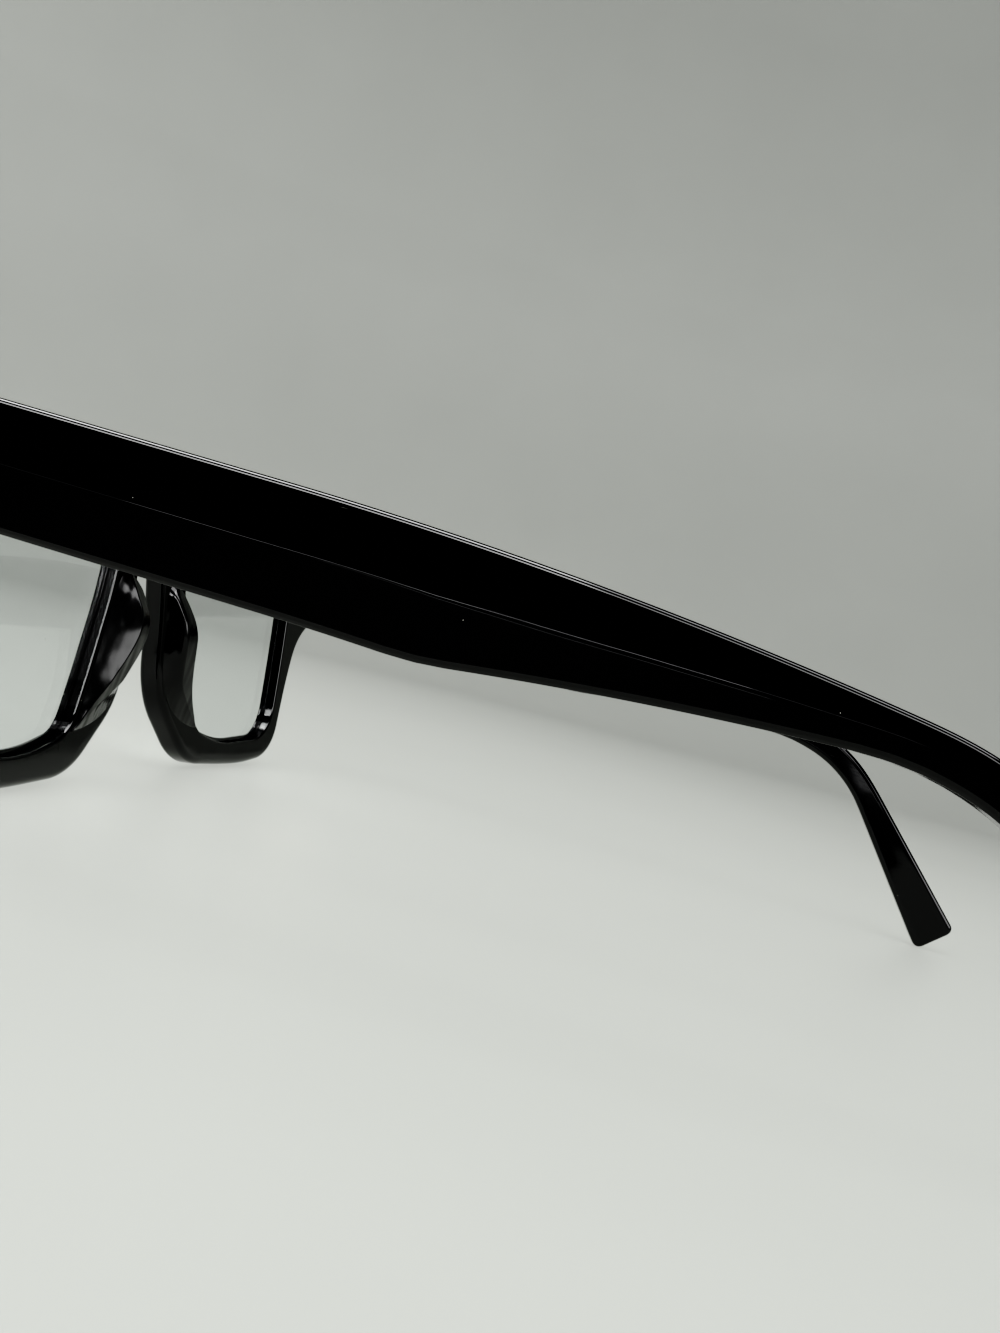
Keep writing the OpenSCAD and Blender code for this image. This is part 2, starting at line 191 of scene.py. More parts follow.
lens_corners = fitted([
    [lens_in + nasal_slant, lens_low + nasal_lift, nasal_corner_r],
    [lens_mid, lens_low, 400],
    [lens_out - outer_slant, lens_low + corner_lift, lens_corner_r],
    [lens_out - outer_slant / 3.5, lens_top - lens_h / 2, 300],
    [lens_out, lens_top - corner_lift, lens_corner_r],
    [lens_mid, lens_top, 400],
    [lens_in, lens_top - corner_lift, lens_corner_r],
    [lens_in + 0.3 * nasal_slant, lens_top - 0.4 * lens_h, 60],
    [lens_in + 0.68 * nasal_slant, lens_top - 0.7 * lens_h, 100],
])
brow_top = lens_top + brow_w
endpiece_top = 0.9
endpiece_low = endpiece_top - endpiece_h
bridge_low = lens_top - 6
bridge_top = lens_top + 3.6
nasal_x = lens_in - nasal_rim_w
rim_low = lens_low - lower_rim_w
rim_out = lens_out + outer_rim_w
half_corners = [
    [nasal_x - 0.4, bridge_low, 4],
    [nasal_x + 0.13 * nasal_slant, lens_top - 0.45 * lens_h, 100],
    [nasal_x + 0.16 * nasal_slant, lens_low + 8.5, 40],
    [nasal_x + 1.3 * nasal_slant, rim_low + 0.8, 14],
    [lens_in + 2 * nasal_slant, rim_low + 0.2, 200],
    [lens_mid + 9, rim_low, 300],
    [rim_out - 5.8, rim_low + 1.4, 12],
    [rim_out - 2.3, lens_top - 0.66 * lens_h, 90],
    [rim_out + 0.7, endpiece_low - 6.2, 16],
    [half_w - 0.6, endpiece_low, 4],
    [half_w, endpiece_low + 2.6, 10],
    [half_w, endpiece_top, 3],
    [half_w - 15, brow_top - 0.4, 200],
    [lens_mid + 2, brow_top + 0.3, 400],
    [lens_in + 9, brow_top - 0.6, 200],
    [lens_in - 3, bridge_top, 60],
]
front_corners = fitted(half_corners + [[-x, w, r] for x, w, r in reversed(half_corners)])

bow_centre = math.sqrt(bow_r**2 - half_w**2)
front_points, front_counts = traced(front_corners)


def leaned(points, depth):
    """Points of the front in mm, a depth in front of its bowed rear face, after its lean."""
    y = bow_centre - np.sqrt((bow_r + depth) ** 2 - points[:, 0] ** 2)
    return np.stack([
        points[:, 0],
        y * math.cos(lean) - points[:, 1] * math.sin(lean),
        points[:, 1] * math.cos(lean) + y * math.sin(lean),
    ], 1)


metre = 1000
floor_z = leaned(front_points, front_t)[:, 2].min()
front_y = leaned(front_points, front_t)[:, 1].min()
mid_y = front_y + metre * (cad_high.y - cad_low.y) / 2


def settled(points):
    """Points in mm moved to the floor and the middle, in metres."""
    return (points - np.array([0, mid_y, floor_z])) / metre


def on_front(points, depth):
    """Points of the front's outline plane in mm, a depth in front of its rear face, in their final place."""
    return settled(leaned(points, depth))


def piece(name, points, faces, body, slot, material, sharp_deg=40):
    """Makes a closed mesh into a piece that rides on a body. A sharper turn of its surface is an edge."""
    mesh = bpy.data.meshes.new(name)
    mesh.from_pydata([tuple(p) for p in points], [], [tuple(f) for f in faces])
    work = bmesh.new()
    work.from_mesh(mesh)
    bmesh.ops.recalc_face_normals(work, faces=work.faces)
    work.to_mesh(mesh)
    work.free()
    mesh.shade_smooth()
    mesh.set_sharp_from_angle(angle=math.radians(sharp_deg))
    mesh.materials.append(material)
    made = bpy.data.objects.new(name, mesh)
    bpy.context.scene.collection.objects.link(made)
    flats = made.modifiers.new("true flats", "WEIGHTED_NORMAL")
    flats.keep_sharp = True
    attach(made, body)
    return made


def ring_faces(first, count, rings, closed=True):
    """Quads between rows of points that follow each other."""
    last = count if closed else count - 1
    return [
        (first + i * count + j, first + i * count + (j + 1) % count,
         first + (i + 1) * count + (j + 1) % count, first + (i + 1) * count + j)
        for i in range(rings - 1) for j in range(last)
    ]


def inside(points, loop):
    """True for each point that lies inside a closed loop."""
    x, w = points[:, 0][:, None], points[:, 1][:, None]
    ax, aw = loop[:, 0], loop[:, 1]
    bx, bw = np.roll(ax, -1), np.roll(aw, -1)
    crosses = (aw > w) != (bw > w)
    at = ax + (w - aw) * (bx - ax) / np.where(bw == aw, 1e-9, bw - aw)
    return (crosses & (x < at)).sum(1) % 2 == 1


def filled(outer, holes):
    """Fine triangles between an outer loop and its holes: extra points, and faces that count the loops'
    points first."""
    loops = [outer, *holes]
    edge = np.concatenate(loops)
    low, high = outer.min(0), outer.max(0)
    grid = np.array([(x, w) for x in np.arange(low[0], high[0], grid_step)
                     for w in np.arange(low[1], high[1], grid_step)])
    keep = inside(grid, outer)
    for hole in holes:
        keep &= ~inside(grid, hole)
    grid = grid[keep]
    near = np.array([((edge - p) ** 2).sum(1).min() for p in grid])
    grid = grid[near > (0.45 * grid_step) ** 2]
    points = np.concatenate([edge, grid])
    edges, first = [], 0
    for loop in loops:
        n = len(loop)
        edges += [(first + i, first + (i + 1) % n) for i in range(n)]
        first += n
    made = geometry.delaunay_2d_cdt([Vector(p) for p in points], edges, [], 0, 1e-7)
    spots, faces, origin = np.array([tuple(v) for v in made[0]]), made[2], made[3]
    number = [o[0] for o in origin]
    middles = np.array([spots[list(f)].mean(0) for f in faces])
    keep = inside(middles, outer)
    for hole in holes:
        keep &= ~inside(middles, hole)
    return grid, [[number[v] for v in f] for f, k in zip(faces, keep) if k]


def arc_profile(r, far, steps=6):
    """Insets and depths down a rounded edge, from the cap, which lies at depth far, to the wall."""
    t = [k / steps * math.pi / 2 for k in range(steps + 1)]
    drops = [r * (1 - math.cos(a)) for a in t]
    return [(r * (1 - math.sin(a)), drop if far == 0 else far - drop) for a, drop in zip(t, drops)]


outer_profile = arc_profile(outer_round, 0) + arc_profile(outer_round, front_t)[::-1]
groove_near = lens_set_in + lens_t / 2 - groove_w / 2
groove_far = groove_near + groove_w
opening_profile = (
    arc_profile(opening_round, 0)
    + [(0, groove_near), (-groove_depth, groove_near), (-groove_depth, groove_far), (0, groove_far)]
    + arc_profile(lip_round, front_t)[::-1]
)


def mirrored(corners):
    """The same outline on the wearer's right."""
    return [[-x, w, r] for x, w, r in reversed(corners)]


temple_h, temple_t, toe_in = 12.8, 3.9, math.radians(2.8)
barrel_r, barrel_clear = 1.5, 0.2
end_gap, axis_back, temple_set_in = 0.25, 2.7, 0.2
temple_x = half_w - temple_set_in
axis_in = temple_t + barrel_clear + barrel_r
hinge_z = -0.5 * temple_h
axis_x = temple_x - axis_in * math.cos(toe_in) - axis_back * math.sin(toe_in)
plate_t, plate_proud, plate_h, front_plate_w = 1.1, 0.15, 9.4, 5.6
pocket_w = front_plate_w / 2 + fit_gap
pocket_h = plate_h / 2 + fit_gap
cutter_r = 0.05
pocket = [
    [axis_x - pocket_w, hinge_z + pocket_h, cutter_r], [axis_x - pocket_w, hinge_z - pocket_h, cutter_r],
    [axis_x + pocket_w, hinge_z - pocket_h, cutter_r], [axis_x + pocket_w, hinge_z + pocket_h, cutter_r],
]
pocket_deep = plate_t - plate_proud + fit_gap


def front_mesh():
    """The bowed sheet: rounded outer wall, grooved openings, hinge pockets, and its rear and front faces."""
    points, faces = [], []
    ends = {"rear": [], "front": []}

    def wall(corners, counts, profile, sign):
        rings = [traced(grown(corners, sign * d), counts)[0] for d, _ in profile]
        first = sum(len(p) for p in points)
        for ring, (_, depth) in zip(rings, profile):
            points.append(on_front(ring, depth))
        faces.extend(ring_faces(first, len(rings[0]), len(rings)))
        n = len(rings[0])
        ends["rear"].append((rings[0], first))
        ends["front"].append((rings[-1], first + (len(rings) - 1) * n))

    wall(front_corners, front_counts, outer_profile, -1)
    for corners in (lens_corners, mirrored(lens_corners)):
        wall(corners, traced(corners)[1], opening_profile, 1)
    for corners in (pocket, mirrored(pocket)):
        ring, counts = traced(corners, steps=2)
        first = sum(len(p) for p in points)
        points.append(on_front(ring, 0))
        points.append(on_front(ring, pocket_deep))
        faces.extend(ring_faces(first, len(ring), 2))
        faces.append(range(first + len(ring), first + 2 * len(ring)))
        ends["rear"].append((ring, first))
    for side, depth in (("rear", 0), ("front", front_t)):
        loops = [loop for loop, _ in ends[side]]
        numbers = [first + i for loop, first in ends[side] for i in range(len(loop))]
        grid, cap = filled(loops[0], loops[1:])
        first = sum(len(p) for p in points)
        points.append(on_front(grid, depth))
        numbers += [first + i for i in range(len(grid))]
        faces.extend([numbers[v] for v in f] for f in cap)
    return np.concatenate(points), faces


def linear(hex_colour):
    """An sRGB hex colour as linear values with full cover."""
    parts = [int(hex_colour[i:i + 2], 16) / 255 for i in (1, 3, 5)]
    return tuple(c / 12.92 if c <= 0.04045 else ((c + 0.055) / 1.055) ** 2.4 for c in parts) + (1.0,)


def put(tree, kind, inputs=None, **settings):
    """Adds a node with its settings, and fills each input with a value or links it to an output."""
    made = tree.nodes.new("ShaderNode" + kind)
    for key, value in settings.items():
        setattr(made, key, value)
    for key, value in (inputs or {}).items():
        if isinstance(value, bpy.types.NodeSocket):
            tree.links.new(value, made.inputs[key])
        else:
            made.inputs[key].default_value = value
    return made


def new_material(name):
    """A material with an empty tree, and its output."""
    made = bpy.data.materials.new(name)
    made.use_nodes = True
    made.node_tree.nodes.clear()
    return made, made.node_tree, put(made.node_tree, "OutputMaterial")


def tumbled_black_acetate(name, along, filed=0.0):
    """Cellulose acetate, dyed black all through and polished in a tumbler. It gives a deep mirror gloss
    with a faint waviness, hair-fine wipe marks, specks of dust and short scratches, laid out on the face
    that runs along one axis. Where it is filed by hand before the polish, it is softer and rippled."""
    made, tree, out = new_material(name)
    spot = put(tree, "TexCoord").outputs["Object"]
    wave_mm, ripple_mm, wipe_mm, patch_mm = 5.0, 2.2, 0.25, 14.0
    dust_mm, speck_mm, scratch_mm, hair_mm = 11.0, 0.07, 24.0, 0.03
    polish_deg, file_deg = 0.3, 5.5

    stretch = put(tree, "Mapping", {"Vector": spot, "Scale": (1.0, 0.12, 1.0)})
    wipes = put(tree, "TexNoise", {
        "Vector": stretch.outputs["Vector"], "Scale": metre / wipe_mm, "Detail": 3.0})
    patches = put(tree, "TexNoise", {"Vector": spot, "Scale": metre / patch_mm, "Detail": 2.0})
    wiped = put(tree, "MapRange", {
        "Value": wipes.outputs["Fac"], "From Min": 0.45, "From Max": 0.75, "To Min": 0.0, "To Max": 0.05})
    soft = put(tree, "MapRange", {
        "Value": patches.outputs["Fac"], "From Min": 0.4, "From Max": 0.7,
        "To Min": 0.04 + 0.1 * filed, "To Max": 0.08 + 0.16 * filed})
    rough = put(tree, "Math", {0: wiped.outputs["Result"], 1: soft.outputs["Result"]}, operation="ADD")

    parts = put(tree, "SeparateXYZ", {"Vector": spot})
    face = put(tree, "CombineXYZ", {"X": parts.outputs[along], "Y": parts.outputs["Z"]})
    cells = put(tree, "TexVoronoi", {"Vector": face.outputs["Vector"], "Scale": metre / dust_mm},
                voronoi_dimensions="2D")
    chosen = put(tree, "SeparateColor", {"Color": cells.outputs["Color"]})
    small = put(tree, "MapRange", {
        "Value": cells.outputs["Distance"], "From Min": 0.5 * speck_mm / dust_mm,
        "From Max": speck_mm / dust_mm, "To Min": 1.0, "To Max": 0.0})
    some = put(tree, "Math", {0: chosen.outputs["Red"], 1: 0.45}, operation="GREATER_THAN")
    dust = put(tree, "Math", {0: small.outputs["Result"], 1: some.outputs["Value"]}, operation="MULTIPLY")
    turned = put(tree, "Mapping", {
        "Vector": face.outputs["Vector"], "Rotation": (0.0, 0.0, 0.5), "Scale": (0.05, 1.0, 1.0)})
    hairs = put(tree, "TexVoronoi", {
        "Vector": turned.outputs["Vector"], "Scale": 3 * metre / scratch_mm}, voronoi_dimensions="2D")
    thin = put(tree, "MapRange", {
        "Value": hairs.outputs["Distance"], "From Min": hair_mm / scratch_mm,
        "From Max": 3 * hair_mm / scratch_mm, "To Min": 0.35, "To Max": 0.0})
    marks = put(tree, "Math", {0: dust.outputs["Value"], 1: thin.outputs["Result"]}, operation="MAXIMUM")
    colour = put(tree, "Mix", {
        0: marks.outputs["Value"], 6: linear("#040405"), 7: linear("#8E8E88")}, data_type="RGBA")
    dull = put(tree, "MapRange", {"Value": marks.outputs["Value"], "To Min": 0.0, "To Max": 0.5})
    whole = put(tree, "Math", {0: rough.outputs["Value"], 1: dull.outputs["Result"]}, operation="ADD")

    waves = put(tree, "TexNoise", {"Vector": spot, "Scale": metre / wave_mm, "Detail": 1.0})
    upright = put(tree, "Mapping", {"Vector": spot, "Scale": (1.0, 1.0, 0.12)})
    ripples = put(tree, "TexNoise", {
        "Vector": upright.outputs["Vector"], "Scale": metre / ripple_mm, "Detail": 1.0})
    both = put(tree, "Mix", {
        0: 0.3 + 0.65 * filed, 2: waves.outputs["Fac"], 3: ripples.outputs["Fac"]}, data_type="FLOAT")
    bump = put(tree, "Bump", {
        "Height": both.outputs[0], "Strength": 1.0,
        "Distance": math.tan(math.radians(polish_deg + file_deg * filed)) * ripple_mm / metre})
    shader = put(tree, "BsdfPrincipled", {
        "Base Color": colour.outputs[2], "Roughness": whole.outputs["Value"], "IOR": 1.54,
        "Normal": bump.outputs["Normal"]})
    tree.links.new(shader.outputs["BSDF"], out.inputs["Surface"])
    return made


acetate = tumbled_black_acetate("tumbled_black_acetate", "X")
front = piece("acetate_front", *front_mesh(), "front", "black_acetate", acetate)
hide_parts("front_frame")

# Lenses
# Clear plastic demonstration lenses, 2 mm thick, edged with a tongue all round that snaps into the
# groove of the rim when the acetate is warm. They carry a little dust and the smears of handling.
crown = 0.5


def lens_mesh(side):
    """A lens with softened edges, its tongue, and a crown that is highest in the middle of both faces."""
    body, tongue = grown(lens_corners, -fit_gap), grown(lens_corners, groove_depth - fit_gap)
    near, far, edge = lens_set_in, lens_set_in + lens_t, 0.15
    profile = [
        (grown(body, -edge), near), (body, near + edge), (body, groove_near + fit_gap),
        (tongue, groove_near + fit_gap), (tongue, groove_far - fit_gap), (body, groove_far - fit_gap),
        (body, far - edge), (grown(body, -edge), far),
    ]
    counts = traced(body)[1]
    rings = [traced(corners, counts)[0] for corners, _ in profile]
    middle = np.array([lens_mid, (lens_top + lens_low) / 2])
    reach = np.array([lens_w, lens_h]) / 2 + 0.5

    def bulged(points, depth):
        q = np.clip(1 - ((points - middle) / reach) ** 2, 0, 1)
        y = depth + crown * q[:, 0] * q[:, 1]
        return on_front(points, y) * np.array([side, 1, 1])

    points = [bulged(ring, depth) for ring, (_, depth) in zip(rings, profile)]
    n = len(rings[0])
    faces = ring_faces(0, n, len(rings))
    total = n * len(rings)
    for ring, first, depth in ((rings[0], 0, near), (rings[-1], total - n, far)):
        grid, cap = filled(ring, [])
        start = sum(len(p) for p in points)
        numbers = [first + i for i in range(n)] + [start + i for i in range(len(grid))]
        points.append(bulged(grid, depth))
        faces.extend([numbers[v] for v in f] for f in cap)
    return np.concatenate(points), faces


def cast_clear_resin():
    """Allyl resin cast between glass moulds and hard coated, nearly as clear as glass. Finger smears and
    dust leave faint dull patches and pale specks that show against the light."""
    made, tree, out = new_material("cast_clear_lens_resin")
    spot = put(tree, "TexCoord").outputs["Object"]
    smear_mm, grain_mm, dust_mm, speck_mm = 9.0, 0.5, 4.0, 0.12
    smears = put(tree, "TexNoise", {
        "Vector": spot, "Scale": metre / smear_mm, "Detail": 4.0, "Distortion": 0.6})
    grain = put(tree, "TexNoise", {"Vector": spot, "Scale": metre / grain_mm, "Detail": 2.0})
    both = put(tree, "Math", {0: smears.outputs["Fac"], 1: grain.outputs["Fac"]}, operation="MULTIPLY")
    rough = put(tree, "MapRange", {
        "Value": both.outputs["Value"], "From Min": 0.28, "From Max": 0.45, "To Min": 0.0, "To Max": 0.09})
    cells = put(tree, "TexVoronoi", {"Vector": spot, "Scale": metre / dust_mm})
    chosen = put(tree, "SeparateColor", {"Color": cells.outputs["Color"]})
    small = put(tree, "MapRange", {
        "Value": cells.outputs["Distance"], "From Min": speck_mm / dust_mm / 3,
        "From Max": speck_mm / dust_mm, "To Min": 1.0, "To Max": 0.0})
    some = put(tree, "Math", {0: chosen.outputs["Green"], 1: 0.6}, operation="GREATER_THAN")
    dust = put(tree, "Math", {0: small.outputs["Result"], 1: some.outputs["Value"]}, operation="MULTIPLY")
    clear = put(tree, "BsdfPrincipled", {
        "Base Color": linear("#EFF2F1"), "Roughness": rough.outputs["Result"], "IOR": 1.5,
        "Transmission Weight": 1.0})
    speck = put(tree, "BsdfPrincipled", {"Base Color": linear("#B9B9B4"), "Roughness": 0.8})
    mixed = put(tree, "MixShader", {
        0: dust.outputs["Value"], 1: clear.outputs["BSDF"], 2: speck.outputs["BSDF"]})
    tree.links.new(mixed.outputs["Shader"], out.inputs["Surface"])
    return made


resin = cast_clear_resin()
for name, side in (("left", 1), ("right", -1)):
    lens = piece(name + "_clear_lens", *lens_mesh(side), "front", "clear_lens", resin)
    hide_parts(name + "_lens")

# Nose pads
# Leaves of the same acetate, cemented to the rear of each rim beside the nose, filed to shape by hand
# and polished together with the rim.
pad_rows = np.array([
    # height, crest from the middle, rise
    [-13.2, 8.3, 0.25], [-14.5, 8.3, 0.9], [-17.4, 8.8, 2.5], [-19.8, 9.1, 3.6], [-22.0, 9.6, 3.95],
    [-25.0, 10.5, 3.5], [-27.9, 11.9, 2.7], [-30.8, 13.6, 1.9], [-33.6, 15.9, 1.1], [-36.8, 18.7, 0.5],
    [-38.0, 19.8, 0.2],
])
foot_from_opening, foot_from_outer, foot_sunk = 0.5, 0.55, 0.2
foot_r, crest_r, shoulder_r = 0.05, 0.45, 0.9
leaf_w, shoulder_share = 3.5, 0.93
opening_points = traced(lens_corners)[0]
outer_points = front_points[front_points[:, 0] > 0]


def edge_at(points, w, pick):
    """Where an outline crosses a height, on its nose side."""
    a, b = points, np.roll(points, -1, 0)
    hit = (a[:, 1] - w) * (b[:, 1] - w) < 0
    t = (w - a[hit, 1]) / (b[hit, 1] - a[hit, 1])
    return pick(a[hit, 0] + t * (b[hit, 0] - a[hit, 0]))


def through(rows, at):
    """A smooth curve through rows of values, by the first column."""
    x, y = rows[:, 0], rows[:, 1:]
    i = int(np.clip(np.searchsorted(x, at) - 1, 0, len(x) - 2))
    slopes = np.gradient(y, x, axis=0)
    h = x[i + 1] - x[i]
    t = (at - x[i]) / h
    return ((2 * t**3 - 3 * t**2 + 1) * y[i] + (t**3 - 2 * t**2 + t) * h * slopes[i]
            + (3 * t**2 - 2 * t**3) * y[i + 1] + (t**3 - t**2) * h * slopes[i + 1])


def pad_mesh(side, rows=64):
    """A leaf swept down the rim: each row is a section from the lens side over the crest to the nose side."""
    rising = pad_rows[::-1]
    low_w, high_w = rising[0, 0], rising[-1, 0]
    points, counts = [], [4, 3, 3, 4]
    for i in range(rows + 1):
        t = 0.5 - 0.5 * math.cos(math.pi * i / rows)
        w = high_w + (low_w - high_w) * t
        crest, rise = through(rising, w)
        full = math.sqrt(max(1 - (2 * t - 1) ** 8, 0.02))
        lens_foot = crest + (edge_at(opening_points, w, min) - foot_from_opening - crest) * full
        nose_foot = crest + (edge_at(outer_points, w, min) + foot_from_outer - crest) * full
        shoulder = max(crest - leaf_w * full * min(1, rise / 2), nose_foot + 0.25)
        shoulder = min(shoulder, crest - 0.15)
        section = fitted([
            [lens_foot, -foot_sunk, foot_r],
            [crest, rise, crest_r],
            [shoulder, shoulder_share * rise, shoulder_r],
            [nose_foot, -foot_sunk, foot_r],
        ])
        ring = traced(section, counts, steps=8)[0]
        flat = np.stack([ring[:, 0], np.full(len(ring), w)], 1)
        points.append(on_front(flat, -ring[:, 1]) * np.array([side, 1, 1]))
    n = len(points[0])
    faces = ring_faces(0, n, rows + 1)
    faces.append(range(n))
    faces.append(range(rows * n, rows * n + n))
    return np.concatenate(points), faces


filed_acetate = tumbled_black_acetate("hand_filed_black_acetate", "X", filed=1.0)
for name, side in (("left", 1), ("right", -1)):
    pad = piece(name + "_acetate_nose_pad", *pad_mesh(side), "front", "black_acetate", filed_acetate)
    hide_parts(name + "_nose_pad")

# Hinges and screws
# Five-barrel hinges of nickel silver, stamped, barrel polished and sunk hot into the acetate, three
# barrels on the front and two on the temple, which turn on a slotted steel screw.
def polished_nickel_silver():
    """Copper, nickel and zinc alloy, stamped and barrel polished. It gives a warm white metal with soft
    tumbling marks and a trace of tarnish."""
    made, tree, out = new_material("barrel_polished_nickel_silver")
    spot = put(tree, "TexCoord").outputs["Object"]
    mark_mm, mark_deep_mm, tarnish_mm = 0.35, 0.05, 2.5
    marks = put(tree, "TexNoise", {"Vector": spot, "Scale": metre / mark_mm, "Detail": 4.0})
    tarnish = put(tree, "TexNoise", {"Vector": spot, "Scale": metre / tarnish_mm, "Detail": 3.0})
    rough = put(tree, "MapRange", {
        "Value": marks.outputs["Fac"], "From Min": 0.35, "From Max": 0.7, "To Min": 0.16, "To Max": 0.32})
    colour = put(tree, "Mix", {
        0: tarnish.outputs["Fac"], 6: linear("#D3CFC4"), 7: linear("#BDB6A6")}, data_type="RGBA")
    bump = put(tree, "Bump", {
        "Height": marks.outputs["Fac"], "Strength": 0.1, "Distance": mark_deep_mm / metre})
    shader = put(tree, "BsdfPrincipled", {
        "Base Color": colour.outputs[2], "Metallic": 1.0, "Roughness": rough.outputs["Result"],
        "Normal": bump.outputs["Normal"]})
    tree.links.new(shader.outputs["BSDF"], out.inputs["Surface"])
    return made


def turned_steel():
    """Steel, turned with fine rings round the screw's axis and nickel plated. It gives a brighter and
    colder metal than the hinge."""
    made, tree, out = new_material("turned_plated_steel")
    spot = put(tree, "TexCoord").outputs["Object"]
    ring_mm, bands_per_unit = 0.12, 20
    rings = put(tree, "TexWave", {
        "Vector": spot, "Scale": metre / ring_mm / bands_per_unit, "Distortion": 0.4}, bands_direction="Z")
    rough = put(tree, "MapRange", {"Value": rings.outputs["Fac"], "To Min": 0.12, "To Max": 0.26})
    shader = put(tree, "BsdfPrincipled", {
        "Base Color": linear("#D6D6D8"), "Metallic": 1.0, "Roughness": rough.outputs["Result"]})
    tree.links.new(shader.outputs["BSDF"], out.inputs["Surface"])
    return made


def finish_node(name, material, edge_mm):
    """Gives a CAD node its material and takes the razor edge off it."""
    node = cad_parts[name]
    node.data.materials.clear()
    node.data.materials.append(material)
    if edge_mm:
        soften = node.modifiers.new("edges", "BEVEL")
        soften.width = edge_mm / metre
        soften.segments = 2
        soften.limit_method = "ANGLE"
        soften.angle_limit = math.radians(40)


nickel_silver, screw_steel = polished_nickel_silver(), turned_steel()
for side in ("left", "right"):
    finish_node(side + "_front_hinge", nickel_silver, 0.08)
    finish_node(side + "_temple_hinge", nickel_silver, 0.08)
    finish_node(side + "_hinge_screw", screw_steel, 0.06)

# Temples
# Broad bars of the same black acetate. Each is milled to two facets that meet in a crest along its
# outer face, its lower outer edge has a narrow chamfer, and it is bent down behind the ear with heat
# and cut blunt at the tip.
temple_l = 157.0
kink_h, waist_h, tip_h = 12.5, 4.5, 8.0
kink_at, bend_at, bend_l = 61.0, 104.0, 25.5
bend_angle, temple_curve, curve_at = 38.0, 7.8, 44.0
crest_h, tip_corner_r = 0.35, 1.4
top_round, crest_round, inner_round = 0.65, 4.0, 0.8
low_chamfer, chamfer_round, foot_round = 0.45, 0.9, 0.2
tip_edge_r = 0.8
butt_l, kink_blend = 12.0, 3.0
section_step = 0.9
path_steps = 628
path_step = temple_l / path_steps


def slope(s):
    """How steeply the temple runs down at a distance from its hinge end."""
    ramp = min(max((s - curve_at) / (bend_at - curve_at), 0), 1)
    k = min(max((s - bend_at) / bend_l, 0), 1)
    return math.radians(temple_curve * ramp + bend_angle * k * k * (3 - 2 * k))


path = [(0.0, 0.0)]
for i in range(path_steps):
    a = slope((i + 0.5) * path_step)
    path.append((path[-1][0] + path_step * math.cos(a), path[-1][1] - path_step * math.sin(a)))
path = np.array(path)
path_s = np.arange(path_steps + 1) * path_step
height_rule = np.array([
    [0, temple_h], [kink_at, kink_h], [bend_at, waist_h], [bend_at + 0.87 * bend_l, waist_h],
    [temple_l, tip_h]])
crest_share = np.array([
    [0, 0.485], [45, 0.485], [59, 0.472], [66, 0.484], [74, 0.513], [86, 0.524], [100, 0.515], [110, 0.45],
    [temple_l, 0.45]])
band_rule = np.array([[0, 0.12], [56, 0.14], [70, 0.42], [96, 0.42], [112, 0.16], [temple_l, 0.12]])


def eased(s, rule):
    """A value from a rule of straight pieces, with its corners rounded off."""
    at = np.array([s - kink_blend, s, s + kink_blend])
    return float(np.interp(at, rule[:, 0], rule[:, 1]) @ np.array([1, 2, 1]) / 4)


tip_slope = slope(temple_l)
tip_along = np.array([math.cos(tip_slope), -math.sin(tip_slope)])
tip_down = np.array([-math.sin(tip_slope), -math.cos(tip_slope)])
low_corner = path[-1] + (tip_h - tip_corner_r) * tip_down - tip_corner_r * tip_along
dip = math.atan2(low_corner[1], low_corner[0]) - math.asin(
    (floor_z + tip_corner_r) / np.linalg.norm(low_corner))


def temple_section(h, crest, band):
    """Corners of the section from the top outer edge: distances outward and up, and roundings."""
    t = temple_t
    top = crest_h * (h / temple_h - 1)
    return fitted([
        [-crest_h, 0, top_round],
        [top, -crest, crest_round],
        [top, -crest - band, crest_round],
        [-crest_h, -h + low_chamfer, chamfer_round],
        [-crest_h - low_chamfer, -h, foot_round],
        [-t, -h, inner_round],
        [-t, 0, inner_round],
    ])


section_counts = [6, 1, 6, 1, 3, 8, 3]


def temple_ring(s, side):
    """The section at a distance from the hinge end, in its place on a temple. The tip is rounded off."""
    h, band = eased(s, height_rule), eased(s, band_rule)
    crest = h * eased(s, crest_share)
    ring = traced(temple_section(h, crest, band), section_counts, steps=8)[0]
    x, down = ring[:, 0], -ring[:, 1]
    left = temple_l - s
    for reach, axis in ((tip_corner_r, 1), (tip_edge_r, 0)):
        if left < reach:
            inset = reach - math.sqrt(reach**2 - (reach - left) ** 2)
            if axis:
                down = inset + down * (h - 2 * inset) / h
            else:
                x = -inset + x * (temple_t - 2 * inset) / temple_t
    a = slope(s)
    butt = max(0.0, 1 - s / butt_l) * math.tan(lean + dip)
    y = np.interp(s, path_s, path[:, 0]) - down * math.sin(a) + down * butt
    z = np.interp(s, path_s, path[:, 1]) - down * math.cos(a)
    y, z = y * math.cos(dip) + z * math.sin(dip), z * math.cos(dip) - y * math.sin(dip)
    x, y = x * math.cos(toe_in) - y * math.sin(toe_in), y * math.cos(toe_in) + x * math.sin(toe_in)
    made = np.stack([x + temple_x, y + end_gap, z], 1)
    return settled(made) * np.array([side, 1, 1])


def temple_mesh(side):
    """A bar of sections, closer together where the tip rounds off, closed at both ends."""
    stations = list(np.arange(0, temple_l - tip_corner_r, section_step))
    stations += [temple_l - tip_corner_r * k for k in (1, 0.8, 0.62, 0.46, 0.32, 0.2, 0.1, 0.03, 0)]
    rings = [temple_ring(s, side) for s in stations]
    n = len(rings[0])
    faces = ring_faces(0, n, len(rings))
    faces.append(range(n))
    faces.append(range((len(rings) - 1) * n, len(rings) * n))
    return np.concatenate(rings), faces


